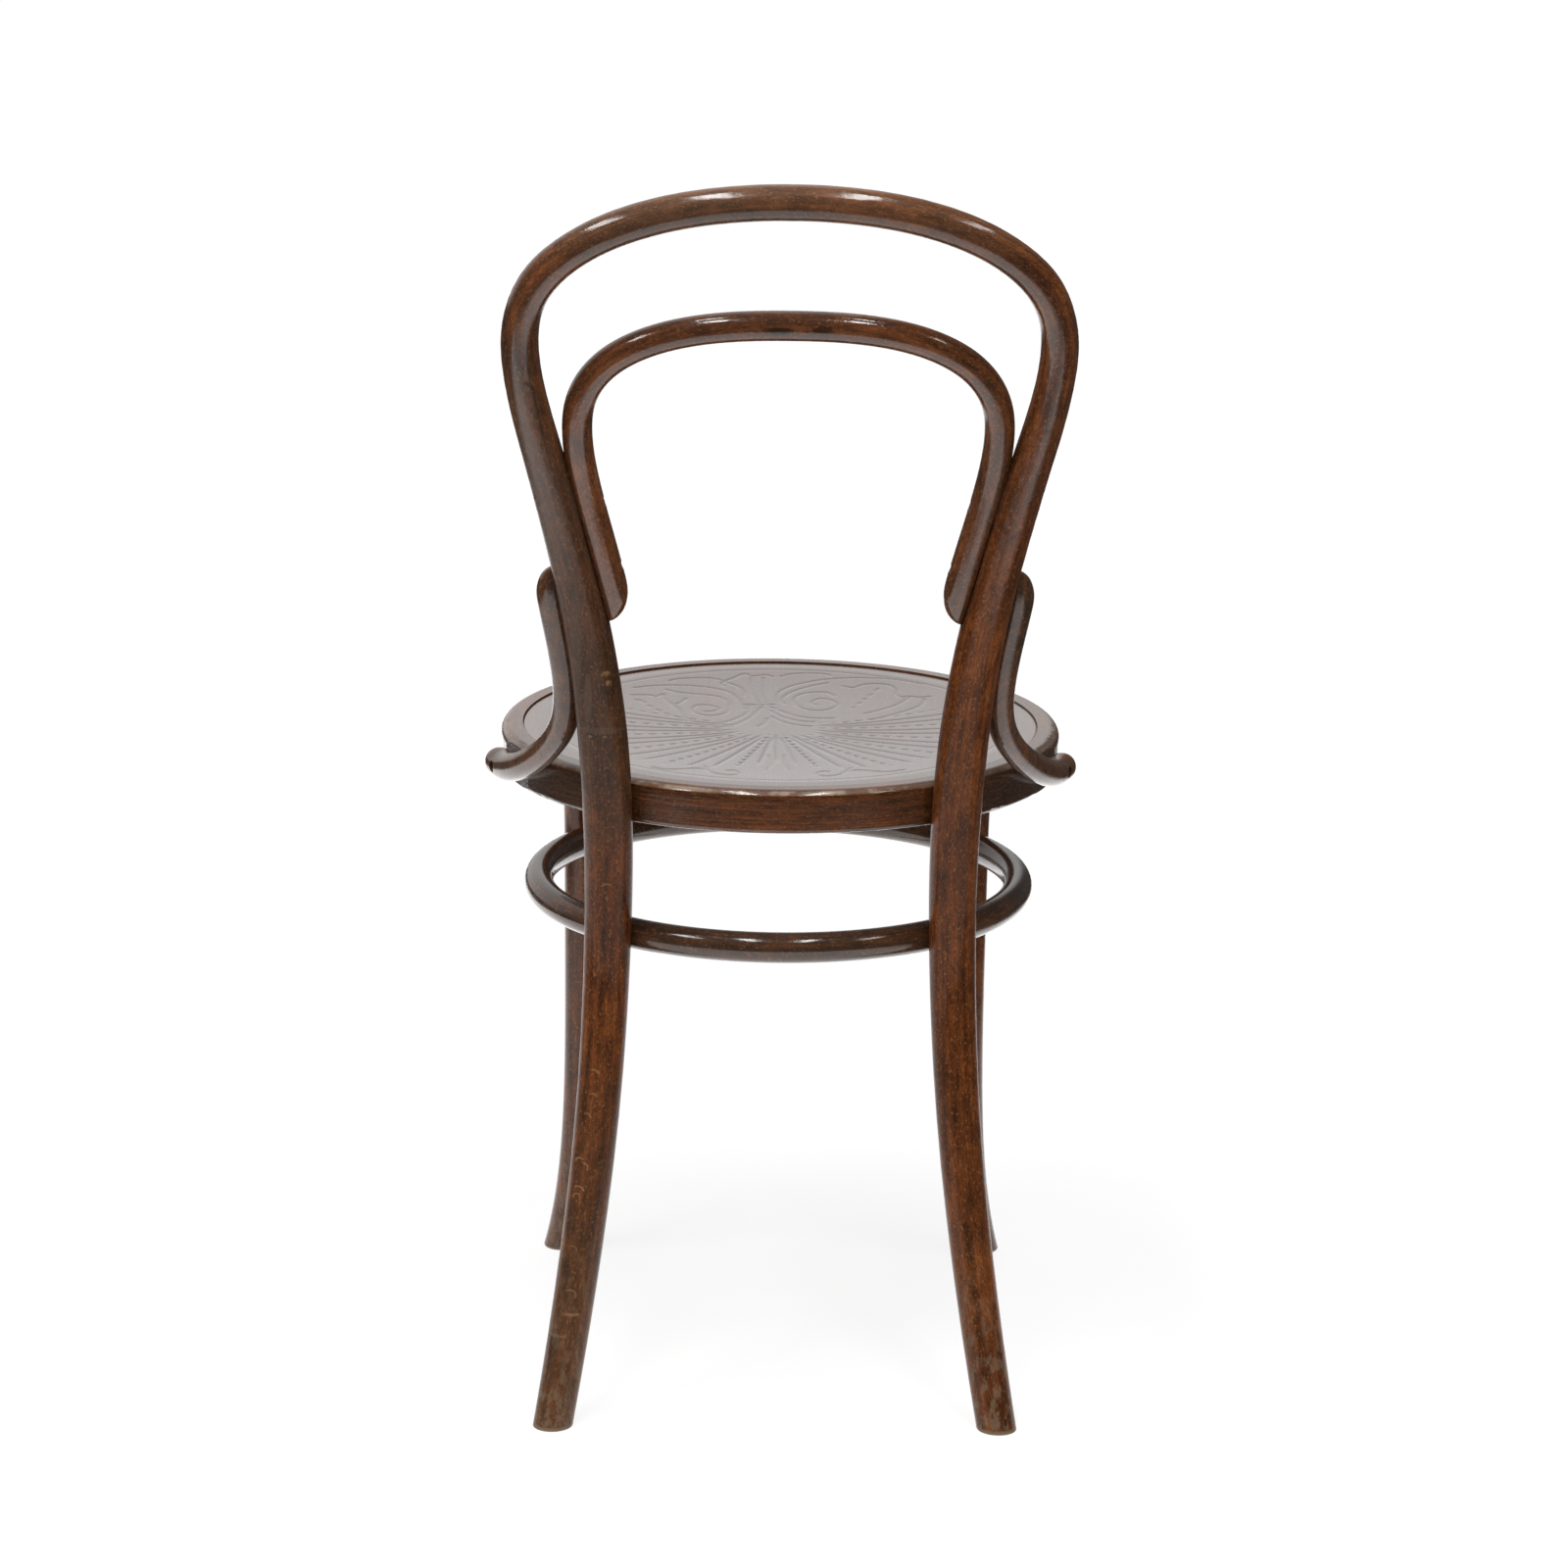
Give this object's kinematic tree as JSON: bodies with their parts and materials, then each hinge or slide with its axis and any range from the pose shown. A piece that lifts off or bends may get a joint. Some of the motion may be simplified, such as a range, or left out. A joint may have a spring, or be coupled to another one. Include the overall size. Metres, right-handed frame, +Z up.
{
  "type": "bentwood bistro chair",
  "caption": "Bentwood dining chair with a one-piece back bow and rear legs, an inner bow, a round pressed plywood seat, side brackets and a leg ring.",
  "frame": {"origin": "centre of the chair's bounding box at floor level", "axes": "+Z up, the sitter faces -Y, +X is the sitter's left"},
  "size_m": [0.4232, 0.5054, 0.8906],
  "materials": {
    "stained_beech": "dark walnut stain under worn semi-gloss shellac",
    "seat_plywood": "dark stained pressed plywood, semi-gloss",
    "raw_beech": "stained, unpolished",
    "screw_steel": "aged bright steel"
  },
  "bodies": {
    "root": {"back_bow": "stained_beech", "inner_bow": "stained_beech", "seat_ring": "stained_beech", "leg_ring": "stained_beech", "front_leg_left": "stained_beech", "front_leg_right": "stained_beech", "bracket_left": "stained_beech", "bracket_right": "stained_beech", "seat_panel": "seat_plywood", "leg_block_left": "raw_beech", "leg_block_right": "raw_beech", "seat_bolts": "screw_steel", "seat_bolt_nuts": "screw_steel", "seat_bolt_washers": "screw_steel", "inner_bow_screws": "screw_steel", "leg_ring_screws": "screw_steel", "bracket_post_screws": "screw_steel", "bracket_seat_screws": "screw_steel"}
  },
  "joints": []
}
